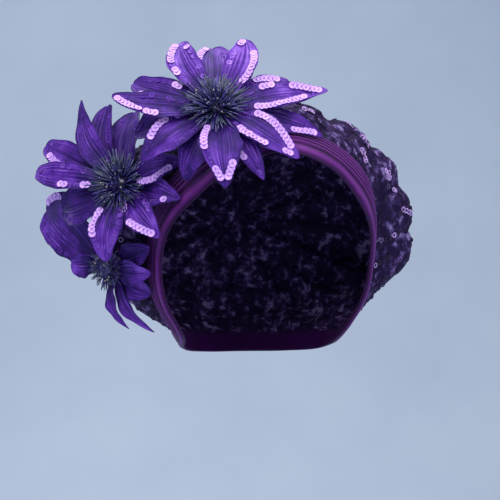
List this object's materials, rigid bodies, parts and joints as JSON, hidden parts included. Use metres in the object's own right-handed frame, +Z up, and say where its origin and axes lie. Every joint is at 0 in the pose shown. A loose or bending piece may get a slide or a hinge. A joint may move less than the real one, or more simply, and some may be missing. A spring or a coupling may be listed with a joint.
{
  "type": "tied head wrap with flowers",
  "caption": "Ready-tied head wrap: pleated satin band round the face, gathered sequinned lace crown behind it, and organza flowers with dark stamens at one side.",
  "frame": {"origin": "middle of the head hollow, on the wearer's midline at brow level", "axes": "+Z up, -Y the way the wearer looks, +X to the wearer's left"},
  "size_m": [0.2991, 0.2287, 0.238],
  "materials": {
    "band_satin": "satin",
    "crown_lace": "sequinned lace",
    "petal_organza": "organza with sequin rows",
    "base_cloth": "matt",
    "stamen_beads": "gloss"
  },
  "bodies": {
    "root": {"band": "band_satin", "crown": "crown_lace", "top_base": "base_cloth", "top_stamens": "stamen_beads", "top_petal_1": "petal_organza", "top_petal_2": "petal_organza", "top_petal_3": "petal_organza", "top_petal_4": "petal_organza", "top_petal_5": "petal_organza", "top_petal_6": "petal_organza", "top_petal_7": "petal_organza", "top_petal_8": "petal_organza", "top_petal_9": "petal_organza", "top_petal_10": "petal_organza", "top_petal_11": "petal_organza", "top_petal_12": "petal_organza", "top_petal_13": "petal_organza", "top_petal_14": "petal_organza", "side_base": "base_cloth", "side_stamens": "stamen_beads", "side_petal_1": "petal_organza", "side_petal_2": "petal_organza", "side_petal_3": "petal_organza", "side_petal_4": "petal_organza", "side_petal_5": "petal_organza", "side_petal_6": "petal_organza", "side_petal_7": "petal_organza", "side_petal_8": "petal_organza", "side_petal_9": "petal_organza", "side_petal_10": "petal_organza", "low_base": "base_cloth", "low_stamens": "stamen_beads", "low_petal_1": "petal_organza", "low_petal_2": "petal_organza", "low_petal_3": "petal_organza", "low_petal_4": "petal_organza", "low_petal_5": "petal_organza", "low_petal_6": "petal_organza", "low_petal_7": "petal_organza"}
  },
  "joints": []
}
